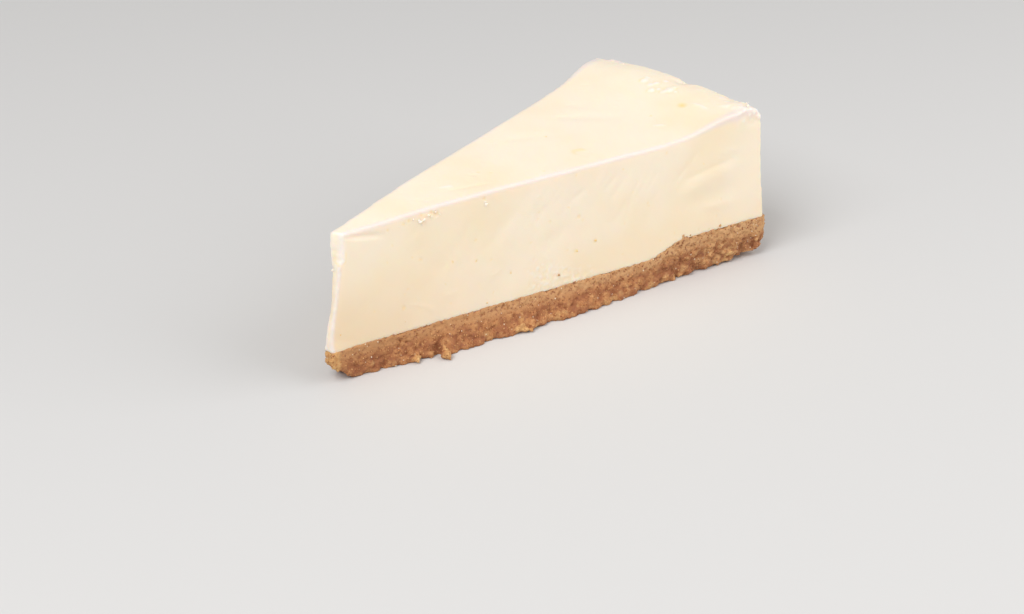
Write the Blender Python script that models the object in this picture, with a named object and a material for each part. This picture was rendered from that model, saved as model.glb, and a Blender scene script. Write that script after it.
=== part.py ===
"""A slice of baked cheesecake, as cut from a round cake.

Two layers run through it: a thick set filling, and a pressed base of biscuit crumbs.
Lengths are in metres. The cake's own axis is the Z axis while the layers are shaped,
and the slice is centred over the origin at the end.
"""

import math
import random

import bmesh
import bpy
from mathutils import Vector, noise

# The whole cake, and the share of it in one slice
CAKE_RADIUS = 0.1400
SLICES_PER_CAKE = 14
HALF_ANGLE = math.pi / SLICES_PER_CAKE
LAYER_GAP = 0.0003

# The crumb base: its depth, and the step up where crumbs are packed against the tin
BASE_DEPTH = 0.0090
RIM_STEP = 0.0037
RIM_STEP_FROM = 0.0990
RIM_STEP_TO = 0.1110
BASE_TIP = -0.0012
BASE_TIP_ROUND = 0.0060
BASE_RIM_ROUND = 0.0062
FOOT_FLARE = 0.0030
FOOT_FLARE_FROM = 0.0060
FOOT_FLARE_FULL = 0.0360
FOOT_UNDERCUT = 0.0020
FOOT_UNDERCUT_FROM = 0.0660
FOOT_UNDERCUT_FULL = 0.1220

# Lumps and pits in the broken face of the base, which begin past the smooth tip
CRUMB_GRAIN = 0.0034
CRUMB_RELIEF = 0.0017
GRAIN_FROM_TIP = 0.0200

# The filling: level in the middle, a bead round the rim, and a wall that leans in
FILLING_TIP = 0.0036
FILLING_TIP_LEAN = 0.0034
NOSE_HALF_WIDTH = 0.0010
NOSE_REACH = 0.0080
NOSE_BULGE = 0.0007
TOP_LEVEL = 0.0424
TIP_DROOP = 0.0013
TIP_DROOP_REACH = 0.0450
BEAD_RADIUS = 0.1280
BEAD_RISE = 0.0039
BEAD_WIDTH = 0.0130
WALL_FOOT = 0.1388
WALL_TOP = 0.1361
TOP_EDGE_ROUND = 0.0042
TOP_WAVE = 0.0003
TOP_WAVE_LENGTH = 0.0140

# The marks that the knife drags into the two cut faces
DRAG_PITCH = 0.0130
DRAG_LEAN = 0.85
DRAG_DEPTH = 0.0003
DRAG_WANDER = 1.6
DRAG_PATCH = 0.0290
DRAG_FADE = 0.17
FAN_CENTRE = (0.1070, 0.0240)
FAN_LENGTH = 0.0250
FAN_DEPTH = 0.0008
FAN_RIDGES = 3.5
FAN_BEARING = 0.15

# How many cuts divide each layer: along the slice, across it, and up it
FILLING_CUTS = (46, 7, 10)
FILLING_RIM_CUTS = 1
BASE_CUTS = (104, 3, 8)
BASE_RIM_CUTS = 8

# Coarse crumbs that cling to the foot of the base, and three lumps pushed out by the knife,
# each at a distance from the cake's axis and with a radius
CLINGING_CRUMBS = 54
CRUMB_SMALLEST = 0.0010
CRUMB_LARGEST = 0.0023
CRUMB_SEED = 14
FOOT_LUMPS = ((0.0265, 0.0017), (0.0362, 0.0021), (0.0580, 0.0024))


def smooth(t):
    """An S-shaped ramp from 0 to 1."""
    t = min(1.0, max(0.0, t))
    return t * t * (3.0 - 2.0 * t)


def mix(a, b, t):
    return a + (b - a) * t


def join_height(r):
    """Height of the surface where filling and base meet, at distance r from the cake's axis."""
    return BASE_DEPTH + RIM_STEP * smooth((r - RIM_STEP_FROM) / (RIM_STEP_TO - RIM_STEP_FROM))


def top_height(r):
    """Height of the filling's top: it droops to the tip and rises in a bead at the rim."""
    droop = TIP_DROOP * (1.0 - smooth(r / TIP_DROOP_REACH))
    bead = BEAD_RISE * math.exp(-(((r - BEAD_RADIUS) / BEAD_WIDTH) ** 2))
    return TOP_LEVEL - droop + bead


def rounded_corner(along, up):
    """Draws the square corner of two straight sides in to a quarter circle."""
    if along <= 0.0 or up <= 0.0:
        return along, up
    share = max(along, up) / math.hypot(along, up)
    return along * share, up * share


def filling_profile(u, w):
    """(r, z) in the filling at share u of the way out from the tip and share w of the way up."""
    r = mix(FILLING_TIP, WALL_TOP, u)
    low = join_height(r) + LAYER_GAP / 2.0
    z = mix(low, top_height(r), w)
    r += (WALL_FOOT - WALL_TOP) * u**8 * (1.0 - w) ** 1.6
    r -= FILLING_TIP_LEAN * (1.0 - u) ** 20 * smooth(1.15 * (1.0 - w))
    corner_r = WALL_TOP - TOP_EDGE_ROUND
    corner_z = top_height(corner_r) - TOP_EDGE_ROUND
    along, up = rounded_corner(r - corner_r, z - corner_z)
    return corner_r + along, corner_z + up


def base_profile(u, w):
    """(r, z) in the base. Its foot is rounded at the rim and at the tip."""
    r = mix(BASE_TIP, CAKE_RADIUS, u)
    z = (join_height(r) - LAYER_GAP / 2.0) * w
    if r < BASE_TIP + BASE_TIP_ROUND:
        corner_r = BASE_TIP + BASE_TIP_ROUND
        along, down = rounded_corner(corner_r - r, BASE_TIP_ROUND - z)
        return corner_r - along, BASE_TIP_ROUND - down
    corner_r = CAKE_RADIUS - BASE_RIM_ROUND
    along, down = rounded_corner(r - corner_r, BASE_RIM_ROUND - z)
    return corner_r + along, BASE_RIM_ROUND - down


def foot_spread(r):
    """How far the foot of the base stands out past the cut, or under it near the rim."""
    rise = smooth((r - FOOT_FLARE_FROM) / (FOOT_FLARE_FULL - FOOT_FLARE_FROM))
    fall = smooth((r - FOOT_UNDERCUT_FROM) / (FOOT_UNDERCUT_FULL - FOOT_UNDERCUT_FROM))
    return FOOT_FLARE * rise * (1.0 - fall) - FOOT_UNDERCUT * fall


def wedge_point(r, z, v):
    """A point of the slice: v runs from -1 on one cut face to 1 on the other."""
    angle = HALF_ANGLE * v
    nose = math.exp(-max(r, 0.0) / NOSE_REACH)
    x = r * math.cos(angle) - NOSE_BULGE * nose**3 * (1.0 - v * v)
    return Vector((x, r * math.sin(angle) + NOSE_HALF_WIDTH * nose * v, z))


def face_normal(side):
    """The outward normal of a cut face: side is -1 or 1."""
    return Vector((-math.sin(HALF_ANGLE), side * math.cos(HALF_ANGLE), 0.0))


def drag_marks(r, z, side):
    """Relief of a cut face: slanting ripples, and a fan of creases near the rim."""
    slant = (r + DRAG_LEAN * z) / DRAG_PITCH
    wander = DRAG_WANDER * noise.noise(Vector((r, 1.5 * z, side * DRAG_PATCH)) / (0.6 * DRAG_PATCH))
    patch = 0.5 + 0.5 * noise.noise(Vector((r, z, (3.0 + side) * DRAG_PATCH)) / DRAG_PATCH)
    ripples = DRAG_DEPTH * patch * math.sin(2.0 * math.pi * (slant + wander))
    out, up = r - FAN_CENTRE[0], z - FAN_CENTRE[1]
    distance = math.hypot(out, up)
    if out <= 0.0 or distance > FAN_LENGTH:
        return ripples
    bearing = math.atan2(up, out) - FAN_BEARING
    fade = math.sin(math.pi * distance / FAN_LENGTH) * smooth(1.4 * math.cos(bearing) - 0.4)
    return ripples + FAN_DEPTH * fade * math.cos(FAN_RIDGES * 2.0 * bearing)


def crumb_grain(point):
    """Lumps and pits of the crumb base, as a height."""
    near = noise.voronoi(point / CRUMB_GRAIN)[0]
    fine = noise.noise(point / (CRUMB_GRAIN * 0.45))
    return CRUMB_RELIEF * (0.45 - near[0] + 0.35 * fine)


def block(cuts, rim_cuts, shape):
    """A cube cut into cells, finer on its outer wall, each point moved to shape(u, v, w)."""
    mesh = bmesh.new()
    bmesh.ops.create_cube(mesh, size=1.0)
    for axis, count in enumerate(cuts):
        edges = []
        for edge in mesh.edges:
            span = edge.verts[0].co - edge.verts[1].co
            if abs(span[axis]) > 0.5:
                edges.append(edge)
        bmesh.ops.subdivide_edges(mesh, edges=edges, cuts=count, use_grid_fill=True)
    if rim_cuts:
        wall = []
        for edge in mesh.edges:
            low, high = edge.verts[0].co, edge.verts[1].co
            if min(low.x, high.x) > 0.4999 and abs(low.y - high.y) > 1e-4:
                wall.append(edge)
        bmesh.ops.subdivide_edges(mesh, edges=wall, cuts=rim_cuts, use_grid_fill=True)
    for vert in mesh.verts:
        u, v, w = vert.co + Vector((0.5, 0.5, 0.5))
        vert.co = shape(u, 2.0 * v - 1.0, w)
    return mesh


def filling_point(u, v, w):
    """A point of the filling's skin, with the marks on its faces."""
    r, z = filling_profile(u, w)
    point = wedge_point(r, z, v)
    if abs(v) > 0.999:
        fade = smooth(w / DRAG_FADE) * smooth((1.0 - w) / DRAG_FADE) * smooth(u / DRAG_FADE)
        point += face_normal(v) * drag_marks(r, z, v) * fade
    elif w > 0.999:
        point.z += TOP_WAVE * noise.noise(point / TOP_WAVE_LENGTH)
    return point


def base_point(u, v, w):
    """A point of the base's skin. Its underside stays flat and its top stays level."""
    r, z = base_profile(u, w)
    point = wedge_point(r, z, v)
    if abs(v) > 0.999:
        grain = crumb_grain(point) * (1.0 - 0.8 * w**3) * smooth(r / GRAIN_FROM_TIP)
        point += face_normal(v) * (foot_spread(r) * (1.0 - w) ** 1.5 + grain)
    if u > 0.999:
        point += Vector((1.0, 0.0, 0.0)) * crumb_grain(point) * (1.0 - w**3)
    return point


def add_object(name, mesh, parent):
    """Turns a bmesh into a named object under the slice's empty."""
    data = bpy.data.meshes.new(name)
    mesh.to_mesh(data)
    mesh.free()
    made = bpy.data.objects.new(name, data)
    bpy.context.scene.collection.objects.link(made)
    made.parent = parent
    return made


def crumb_mesh(centre, radius, rng):
    """One coarse crumb: a few-sided lump, pulled out of round."""
    mesh = bmesh.new()
    bmesh.ops.create_icosphere(mesh, subdivisions=1, radius=radius)
    for vert in mesh.verts:
        vert.co *= rng.uniform(0.78, 1.12)
        vert.co += centre
    return mesh


def on_cut_face(r, z, side, proud):
    """A point this far proud of the base's cut face, foot included."""
    out = foot_spread(r) * (1.0 - z / join_height(r)) ** 1.5 + proud
    return wedge_point(r, z, side) + face_normal(side) * out


def crumb_places(rng):
    """Centre and radius of each clinging crumb: low on both cut faces, and along the rim."""
    for r, radius in FOOT_LUMPS:
        yield on_cut_face(r, 1.15 * radius, -1.0, 0.6 * radius), radius
    for index in range(CLINGING_CRUMBS):
        radius = mix(CRUMB_SMALLEST, CRUMB_LARGEST, rng.random() ** 2)
        z = 1.15 * radius + 0.4 * BASE_DEPTH * rng.random() ** 2
        if index % 8 == 7:
            v = rng.uniform(-0.9, 0.9)
            yield wedge_point(CAKE_RADIUS - radius, z + 0.5 * BASE_RIM_ROUND, v), radius
            continue
        side = -1.0 if index % 2 else 1.0
        r = mix(0.010, CAKE_RADIUS - 0.012, (index + rng.random()) / CLINGING_CRUMBS)
        yield on_cut_face(r, z, side, 0.1 * radius), radius


def fuse_crumbs(base):
    """Joins the clinging crumbs to the base with one Boolean union."""
    rng = random.Random(CRUMB_SEED)
    heap = bpy.data.collections.new("clinging_crumbs")
    bpy.context.scene.collection.children.link(heap)
    for centre, radius in crumb_places(rng):
        data = bpy.data.meshes.new("crumb")
        lump = crumb_mesh(centre, radius, rng)
        lump.to_mesh(data)
        lump.free()
        heap.objects.link(bpy.data.objects.new("crumb", data))
    union = base.modifiers.new("clinging_crumbs", "BOOLEAN")
    union.operation = "UNION"
    union.operand_type = "COLLECTION"
    union.solver = "MANIFOLD"
    union.collection = heap
    bpy.context.view_layer.objects.active = base
    bpy.ops.object.modifier_apply(modifier=union.name)
    for crumb in list(heap.objects):
        bpy.data.objects.remove(crumb)
    bpy.data.collections.remove(heap)


def material(name, colour, roughness):
    """A plain matt finish."""
    made = bpy.data.materials.new(name)
    made.use_nodes = True
    shader = made.node_tree.nodes["Principled BSDF"]
    shader.inputs["Base Color"].default_value = (*colour, 1.0)
    shader.inputs["Roughness"].default_value = roughness
    shader.inputs["Metallic"].default_value = 0.0
    return made


def centre_over_origin(slice_empty, layers):
    """Moves the slice so that its box is centred over the origin."""
    bpy.context.view_layer.update()
    points = [layer.matrix_world @ vert.co for layer in layers for vert in layer.data.vertices]
    for axis in (0, 1):
        values = [point[axis] for point in points]
        slice_empty.location[axis] = -(min(values) + max(values)) / 2.0


def main():
    for old in list(bpy.data.objects):
        bpy.data.objects.remove(old)

    slice_empty = bpy.data.objects.new("cheesecake_slice", None)
    bpy.context.scene.collection.objects.link(slice_empty)

    filling_mesh = block(FILLING_CUTS, FILLING_RIM_CUTS, filling_point)
    filling = add_object("cheese_filling", filling_mesh, slice_empty)
    filling.data.materials.append(material("set_cheese", (0.96, 0.85, 0.66), 0.5))
    filling.data.shade_smooth()
    filling.data.set_sharp_from_angle(angle=math.radians(40.0))

    base_mesh = block(BASE_CUTS, BASE_RIM_CUTS, base_point)
    base = add_object("biscuit_base", base_mesh, slice_empty)
    base.data.materials.append(material("biscuit_crumb", (0.42, 0.22, 0.10), 0.9))
    fuse_crumbs(base)

    centre_over_origin(slice_empty, (filling, base))


main()
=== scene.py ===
import math
import random

import bmesh
import bpy
import numpy as np
from mathutils import Euler, Matrix, Quaternion, Vector, noise
from mathutils.kdtree import KDTree


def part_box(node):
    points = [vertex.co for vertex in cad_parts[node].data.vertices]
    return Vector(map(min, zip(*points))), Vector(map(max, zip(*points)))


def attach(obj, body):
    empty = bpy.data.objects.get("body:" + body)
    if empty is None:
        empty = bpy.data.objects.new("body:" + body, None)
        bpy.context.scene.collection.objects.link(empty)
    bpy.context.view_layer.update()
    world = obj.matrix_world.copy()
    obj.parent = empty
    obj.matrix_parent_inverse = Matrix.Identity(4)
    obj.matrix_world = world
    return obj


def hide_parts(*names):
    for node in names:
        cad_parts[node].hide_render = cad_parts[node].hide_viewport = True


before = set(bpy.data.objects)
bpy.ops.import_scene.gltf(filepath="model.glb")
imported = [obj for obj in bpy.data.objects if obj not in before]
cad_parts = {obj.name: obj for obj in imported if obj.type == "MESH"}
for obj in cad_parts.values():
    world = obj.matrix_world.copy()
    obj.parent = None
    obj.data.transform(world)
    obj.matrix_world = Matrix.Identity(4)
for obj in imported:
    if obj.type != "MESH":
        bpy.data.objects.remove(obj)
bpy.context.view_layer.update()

# The biscuit base
# Crushed biscuit bound with butter and pressed into the tin by hand, so it is thicker where
# the crumbs are packed against the rim. The knife smooths its upper edge and breaks crumbs out
# of its foot. A core is spun round the cake's axis, and crumbs are pressed into its sides.

MM = 0.001
HALF_ANGLE = math.pi / 14
CAKE_RADIUS = 140.0 * MM
WALL_FOOT = 138.8 * MM
LAYER_GAP = 0.3 * MM
BASE_DEPTH = 9.0 * MM
RIM_STEP = 3.7 * MM
RIM_STEP_FROM = 99.0 * MM
RIM_STEP_TO = 111.0 * MM
# The far cut misses the cake's axis by this much and meets the even wedge at the rim
FAR_CUT_OUT = 1.4 * MM
CORE_INSET = 0.30 * MM
CORE_CELL = 0.90 * MM
BASE_RIM_ROUND = 6.2 * MM
FOOT_FLARE = 3.0 * MM
FOOT_FLARE_FROM = 10.0 * MM
FOOT_FLARE_FULL = 40.0 * MM
FOOT_UNDERCUT = 2.0 * MM
FOOT_UNDERCUT_FROM = 66.0 * MM
FOOT_UNDERCUT_FULL = 122.0 * MM
BASE_NOSE_HALF_WIDTH = 1.0 * MM
FILLING_NOSE_HALF_WIDTH = 0.15 * MM
NOSE_REACH = 8.0 * MM
# Half way up, the nose's far edge is set back by this much
NOSE_TURN = 1.5 * MM
NOSE_TURN_FOOT = 13.0 * MM
NOSE_TURN_HEAD = 34.0 * MM

CRUMBS_A_FACE = 3400
# One in this many of them is pressed in close to the tip, where the base is narrow
TIP_CRUMB_EVERY = 12
TIP_CRUMB_REACH = 16.0 * MM
CRUMBS_ON_RIM = 1200
CRUMBS_ON_TIP = 150
FOOT_CRUMBS_A_FACE = 240
FOOT_KNOBS_A_FACE = 26
FOOT_CRUMBS_ON_RIM = 60
CRUMB_LEAST = 0.32 * MM
CRUMB_MOST = 1.05 * MM
CRUMB_SKIN_CELL = 0.27 * MM
PROUD_AT_TOP = 0.16 * MM
PROUD_AT_FOOT = 0.80 * MM
CLUMP_SIZE = 3.0 * MM
CLUMP_DEPTH = 0.65 * MM
FOOT_LOBE = 3.4 * MM
FOOT_LOBE_DEPTH = 0.9 * MM
FOOT_HOLLOWS = (30.5, 46.7, 65.7)
RIM_CORNER_ROUND = 3.0 * MM
RIM_FOOT_LIFT = 1.9 * MM
JOIN_WAVE = 0.20 * MM
JOIN_WAVE_LENGTH = 1.3 * MM
# At the head of the step a knob of crumbs was pushed up: its distance from the axis and its rise,
# and the heights of its crumbs in mm
JOIN_KNOB = 110.8 * MM
JOIN_KNOB_RISE = 1.3 * MM
JOIN_KNOB_CRUMBS = (12.4, 13.1, 13.6)
# The crumb that fills the tip: x and y from the axis, height and size
TIP_FILL = (0.5 * MM, -1.05 * MM, 7.1 * MM, 0.75 * MM)
GRAIN_SIZE = 0.55 * MM
GRAIN_DEPTH = 0.42 * MM
PIT_DEPTH = 0.18 * MM
BASE_TRIANGLES = 190000

CRUMB_COLOUR_SIZE = 1.1 * MM
CRUMB_DARKEST_AND_PIT_SHADE = (0.290, 0.095, 0.042)
CRUMB_DARK = (0.330, 0.125, 0.050)
CRUMB_MID = (0.500, 0.228, 0.092)
CRUMB_LIGHT = (0.640, 0.360, 0.160)
CRUMB_CREASE_SHADE = (0.310, 0.110, 0.050)
CRUMB_FLECK = (0.300, 0.115, 0.062)
CRUMB_SMEAR = (0.640, 0.370, 0.180)
CRUMB_SMEAR_TIP = (0.520, 0.265, 0.118)
CRUMB_GOLD = (0.740, 0.465, 0.200)
CRUMB_GOLD_DEEP = (0.570, 0.290, 0.110)

# The tip's section, from the join down to the table: distance from the axis and height, in mm
TIP_SECTION = ((1.1, 8.8), (0.9, 7.4), (1.2, 6.0), (2.1, 4.7), (3.4, 3.3), (5.3, 1.5), (7.4, 0.0))
# Crumbs hanging on the near foot: distance from the cake's axis, height, how far proud of the
# cut, and size, in mm
FOOT_LUMPS = (
    (24.6, 1.4, 2.2, 0.8), (24.3, 1.0, 2.9, 0.6), (23.6, 1.3, 2.3, 0.5), (25.3, 1.2, 2.4, 0.5),
    (32.7, 2.1, 2.8, 0.7), (32.5, 1.8, 3.6, 0.6), (31.9, 1.5, 4.6, 0.8), (31.7, 1.1, 5.2, 1.0),
    (30.9, 0.8, 5.3, 0.6), (32.7, 1.4, 5.0, 0.7), (32.2, 0.6, 6.0, 0.5), (54.8, 1.4, 3.2, 0.8),
    (56.0, 2.0, 3.2, 0.9), (57.2, 1.1, 3.8, 0.8), (58.4, 0.8, 4.2, 0.5), (59.2, 1.3, 3.4, 0.5),
    (56.6, 0.9, 4.2, 0.6), (60.4, 1.0, 3.2, 0.4),
    (127.9, 3.2, -0.5, 0.9), (126.9, 2.6, -0.7, 0.6), (128.7, 2.6, -0.8, 0.5),
    (-0.2, 7.0, 0.1, 0.8), (0.6, 5.4, 0.2, 0.8), (0.2, 6.2, 0.4, 0.6), (1.6, 4.2, 0.3, 0.7),
    (0.4, 8.0, 0.1, 0.5), (2.4, 5.6, 0.2, 0.5),
)

# The cake's own axis stands where the slice's two cut faces would meet
axis_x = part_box("cheese_filling")[1][0] - WALL_FOOT


def smooth(t):
    """An S-shaped ramp from 0 to 1."""
    t = np.clip(t, 0.0, 1.0)
    return t * t * (3.0 - 2.0 * t)


def ramp(value, start, length):
    """Rises from 0 to 1 past the start, over this length. With a length below 0 it falls."""
    return smooth((value - start) / length)


def ramp_mm(value, start, length):
    """The same, for a value in metres and a start and length in millimetres."""
    return ramp(value, start * MM, length * MM)


def join_height(r):
    """Height of the surface where filling and base meet, at distance r from the cake's axis."""
    return BASE_DEPTH + RIM_STEP * ramp(r, RIM_STEP_FROM, RIM_STEP_TO - RIM_STEP_FROM)


def foot_spread(r):
    """How far the foot of the base stands out past the cut, or under it near the rim."""
    rise = ramp(r, FOOT_FLARE_FROM, FOOT_FLARE_FULL - FOOT_FLARE_FROM)
    fall = ramp(r, FOOT_UNDERCUT_FROM, FOOT_UNDERCUT_FULL - FOOT_UNDERCUT_FROM)
    return FOOT_FLARE * rise * (1.0 - fall) - FOOT_UNDERCUT * fall


def cut_shift(r, side):
    """How far a cut face stands outside the even wedge."""
    return FAR_CUT_OUT * (1.0 - r / CAKE_RADIUS) * (side > 0.0)


def nose_half_width(r, z):
    """Half the strip that the knife's two cuts leave at the tip: the loose base breaks off blunter."""
    firm = smooth((z - BASE_DEPTH + LAYER_GAP) / (0.5 * MM))
    widest = BASE_NOSE_HALF_WIDTH + (FILLING_NOSE_HALF_WIDTH - BASE_NOSE_HALF_WIDTH) * firm
    return widest * np.exp(-np.maximum(r, 0.0) / NOSE_REACH)


def face_normal(side):
    """The outward normal of a cut face: side is -1 for the near face and 1 for the far one."""
    return Vector((-math.sin(HALF_ANGLE), side * math.cos(HALF_ANGLE), 0.0))


def on_face(r, z, side, out=0.0):
    """A point of a cut face at distance r from the cake's axis, this far proud of the cut."""
    blunt = side * float(nose_half_width(r, z))
    along = Vector((math.cos(HALF_ANGLE), side * math.sin(HALF_ANGLE), 0.0))
    return Vector((axis_x, blunt, z)) + r * along + (out + cut_shift(r, side)) * face_normal(side)


def on_rim(angle, r, z):
    """A point at this angle from the slice's middle line, seen from the cake's axis."""
    return Vector((axis_x + r * math.cos(angle), r * math.sin(angle), z))


def spin_section(name, outline, steps):
    """Draws a section of the slice point by point, and spins it round the cake's axis."""
    bpy.ops.mesh.primitive_plane_add(size=1.0 * MM, location=(0.0, 0.0, 0.0))
    piece = bpy.context.object
    piece.name = name
    piece.data.name = name
    bpy.ops.object.mode_set(mode="EDIT")
    bpy.ops.mesh.select_mode(type="VERT")
    bpy.ops.mesh.merge(type="CENTER")
    here = Vector((0.0, 0.0, 0.0))
    for index, (r, z) in enumerate(outline):
        there = on_rim(-HALF_ANGLE, r, z)
        if index == 0:
            bpy.ops.transform.translate(value=there - here)
        else:
            bpy.ops.mesh.extrude_vertices_move(TRANSFORM_OT_translate={"value": there - here})
        here = there
    bpy.ops.mesh.select_all(action="SELECT")
    bpy.ops.mesh.edge_face_add()
    bpy.ops.mesh.spin(
        steps=steps, angle=2.0 * HALF_ANGLE, center=(axis_x, 0.0, 0.0), axis=(0.0, 0.0, -1.0)
    )
    bpy.ops.mesh.select_all(action="SELECT")
    bpy.ops.mesh.normals_make_consistent(inside=False)
    bpy.ops.object.mode_set(mode="OBJECT")
    return piece


def apply_modifier(piece, name, kind, **settings):
    """Adds a modifier with these settings and applies it."""
    modifier = piece.modifiers.new(name, kind)
    for setting, value in settings.items():
        setattr(modifier, setting, value)
    bpy.context.view_layer.objects.active = piece
    bpy.ops.object.modifier_apply(modifier=modifier.name)


def points_of(piece, what="co"):
    """The piece's vertices as an array of x, y, z, or the way that its skin faces at each."""
    points = np.empty(len(piece.data.vertices) * 3, np.float32)
    piece.data.vertices.foreach_get(what, points)
    return points.reshape(-1, 3).astype(float)


def set_points(piece, points):
    """Moves the piece's vertices to these points."""
    piece.data.vertices.foreach_set("co", points.astype(np.float32).ravel())
    piece.data.update()


def set_mask(piece, name, values):
    """Stores one number for each vertex, which a material reads by this name."""
    mask = piece.data.attributes.new(name, "FLOAT", "POINT")
    mask.data.foreach_set("value", np.clip(values, 0.0, 1.0).astype(np.float32))


def reach_of(points):
    """Each point's distance from the cake's axis."""
    return np.hypot(points[:, 0] - axis_x, points[:, 1])


def outwards(amounts, side):
    """Moves of these lengths, straight out of a cut face."""
    return amounts[:, None] * np.array(face_normal(side))


def blunt_nose(piece):
    """Widens the tip, which the knife's two cuts leave as a strip, and moves the far cut out."""
    points = points_of(piece)
    r = reach_of(points)
    # This runs from -1 at the near cut to 1 at the far one
    across = np.arctan2(points[:, 1], points[:, 0] - axis_x) / HALF_ANGLE
    turned = ramp(points[:, 2], NOSE_TURN_FOOT, 8.0 * MM)
    turned = turned * ramp(points[:, 2], NOSE_TURN_HEAD, -4.0 * MM)
    points[:, 0] += NOSE_TURN * turned * np.exp(-r / NOSE_REACH) * (0.5 + 0.5 * across)
    points[:, 1] += nose_half_width(r, points[:, 2]) * across
    points += outwards(cut_shift(r, 1.0) * (0.5 + 0.5 * across), 1.0)
    set_points(piece, points)


def pick(*pieces):
    """Selects these pieces alone, with the first one active."""
    bpy.ops.object.select_all(action="DESELECT")
    for piece in pieces:
        piece.select_set(True)
    bpy.context.view_layer.objects.active = pieces[0]


def keep_outer_skin(piece):
    """Splits off what isn't joined to the largest skin, such as a sealed bubble, and drops it."""
    pick(piece)
    name = piece.name
    bpy.ops.object.mode_set(mode="EDIT")
    bpy.ops.mesh.select_all(action="SELECT")
    bpy.ops.mesh.separate(type="LOOSE")
    bpy.ops.object.mode_set(mode="OBJECT")
    skins = sorted(bpy.context.selected_objects, key=lambda skin: len(skin.data.vertices))
    for scrap in skins[:-1]:
        bpy.data.objects.remove(scrap)
    skins[-1].name = name
    return skins[-1]


def spread_over_skin(piece, values, passes):
    """Averages values over each vertex's neighbours, this many times."""
    mesh = piece.data
    count = len(mesh.vertices)
    ends = np.empty(len(mesh.edges) * 2, np.int32)
    mesh.edges.foreach_get("vertices", ends)
    first, second = ends.reshape(-1, 2).T
    valence = np.bincount(first, minlength=count) + np.bincount(second, minlength=count)
    for _ in range(passes):
        total = np.bincount(first, values[second], count) + np.bincount(second, values[first], count)
        values = 0.5 * values + 0.5 * total / np.maximum(valence, 1)
    return values


def hollowness(piece, passes, depth):
    """Near 1 for a vertex that lies in a pit of this depth, and 0 for one on a crest."""
    points = points_of(piece)
    average = np.stack([spread_over_skin(piece, points[:, i], passes) for i in range(3)], axis=1)
    sunk = ((average - points) * points_of(piece, "normal")).sum(axis=1)
    return 0.5 + 0.5 * sunk / depth


def triangles_in(piece):
    """How many triangles the piece's faces come to."""
    return sum(len(face.vertices) - 2 for face in piece.data.polygons)


def thin_flat_parts(piece, most_triangles, chosen=None):
    """Collapses edges, of one vertex group where it is given, until this many triangles are left."""
    settings = {"decimate_type": "COLLAPSE", "ratio": min(1.0, most_triangles / triangles_in(piece))}
    if chosen is not None:
        settings["vertex_group"] = chosen
    apply_modifier(piece, "thin", "DECIMATE", **settings)


def ragged_crumb(seed, fineness, raggedness):
    """Models one crumb of about unit size: a ball pulled out of round."""
    bpy.ops.mesh.primitive_ico_sphere_add(subdivisions=fineness, radius=1.0)
    bpy.ops.object.mode_set(mode="EDIT")
    bpy.ops.mesh.select_all(action="SELECT")
    bpy.ops.transform.vertex_random(offset=raggedness, uniform=1.0, normal=0.4, seed=seed)
    bpy.ops.object.mode_set(mode="OBJECT")
    return bpy.context.object


def scatter(name, shapes, places, seed):
    """Joins copies of the crumb shapes into one piece, one for each (centre, size, shade)."""
    chance = random.Random(seed)
    patterns = []
    for shape in shapes:
        corners = np.array([list(face.vertices) for face in shape.data.polygons])
        patterns.append((points_of(shape), corners))
    points, faces, shades = [], [], []
    count = 0
    for centre, size, shade in places:
        pattern, corners = chance.choice(patterns)
        turn = Quaternion([chance.gauss(0.0, 1.0) for _ in range(4)]).normalized().to_matrix()
        squeeze = np.array([chance.uniform(0.75, 1.2) for _ in range(3)]) * size
        points.append((pattern * squeeze) @ np.array(turn).T + np.array(centre))
        faces.append(corners + count)
        shades.append(np.full(len(pattern), shade))
        count += len(pattern)
    mesh = bpy.data.meshes.new(name)
    mesh.from_pydata(np.concatenate(points).tolist(), [], np.concatenate(faces).tolist())
    piece = bpy.data.objects.new(name, mesh)
    bpy.context.scene.collection.objects.link(piece)
    set_mask(piece, "shade", np.concatenate(shades))
    return piece


def face_distance(points, side):
    """How far points stand proud of a cut face, and their distance from the cake's axis."""
    r = reach_of(points)
    blunt = nose_half_width(r, points[:, 2]) * math.cos(HALF_ANGLE)
    from_axis = points - np.array([axis_x, 0.0, 0.0])
    return from_axis @ np.array(face_normal(side)) - blunt - cut_shift(r, side), r


def base_outline():
    """The core's section: round the tip's foot, round the rim's foot, and back along the join."""
    outline = [(r * MM + CORE_INSET, z * MM) for r, z in TIP_SECTION]
    rim = CAKE_RADIUS - CORE_INSET
    for step in range(7):
        turn = math.radians(15.0 * step)
        r = rim - BASE_RIM_ROUND * (1.0 - math.sin(turn))
        outline.append((r, BASE_RIM_ROUND * (1.0 - math.cos(turn))))
    for r in np.linspace(rim, outline[0][0] + 0.4 * MM, 60):
        outline.append((r, float(join_height(r)) - LAYER_GAP / 2.0))
    return outline


def tip_foot(r):
    """Height of the base's foot over the table: the tip is drawn up."""
    reaches, heights = zip(*TIP_SECTION[2:])
    return float(np.interp(r / MM, reaches, heights)) * MM


def tip_front(z):
    """How far the front of the base's tip is from the cake's axis at this height."""
    reaches, heights = zip(*TIP_SECTION)
    return float(np.interp(-z / MM, np.negative(heights), reaches)) * MM


def rim_wall(height):
    """How far the base's wall is from the cake's axis at this height: its foot is rounded."""
    tuck = max(0.0, BASE_RIM_ROUND - height)
    return CAKE_RADIUS - BASE_RIM_ROUND + math.sqrt(BASE_RIM_ROUND**2 - tuck**2)


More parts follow.
